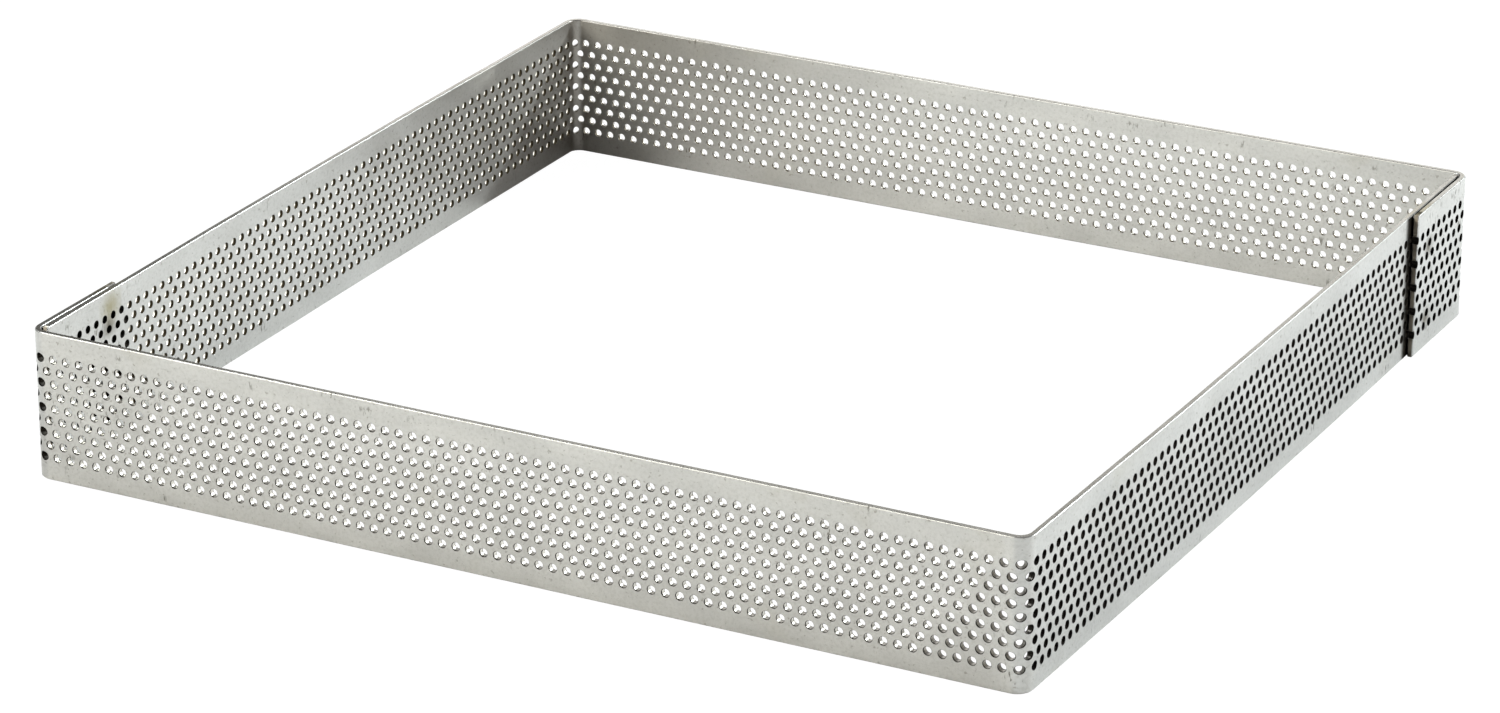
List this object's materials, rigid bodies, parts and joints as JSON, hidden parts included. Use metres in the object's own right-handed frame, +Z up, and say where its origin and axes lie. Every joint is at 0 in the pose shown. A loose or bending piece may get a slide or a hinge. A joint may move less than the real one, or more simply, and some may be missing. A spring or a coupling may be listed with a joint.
{
  "type": "square perforated cheese mold frame",
  "caption": "Bottomless square frame of perforated stainless sheet for shaping and draining curd or dough, folded from strips that lap and are spot-welded at opposite corners.",
  "frame": {"origin": "centre of the square footprint, on the plane of the lower rim", "axes": "+X along the front wall towards the right wall, +Y from the front wall to the back wall, +Z up; the flaps are on the -X side at the front and on the +X side at the back"},
  "size_m": [0.203, 0.2, 0.0292],
  "materials": {
    "stainless_sheet": "satin mill finish with fine rolling grain, light scratches and dull stains",
    "weld_metal": "heat-tinted, matt"
  },
  "bodies": {
    "root": {"front_right_strip": "stainless_sheet", "back_left_strip": "stainless_sheet", "front_left_spot_welds": "weld_metal", "back_right_spot_welds": "weld_metal"}
  },
  "joints": []
}
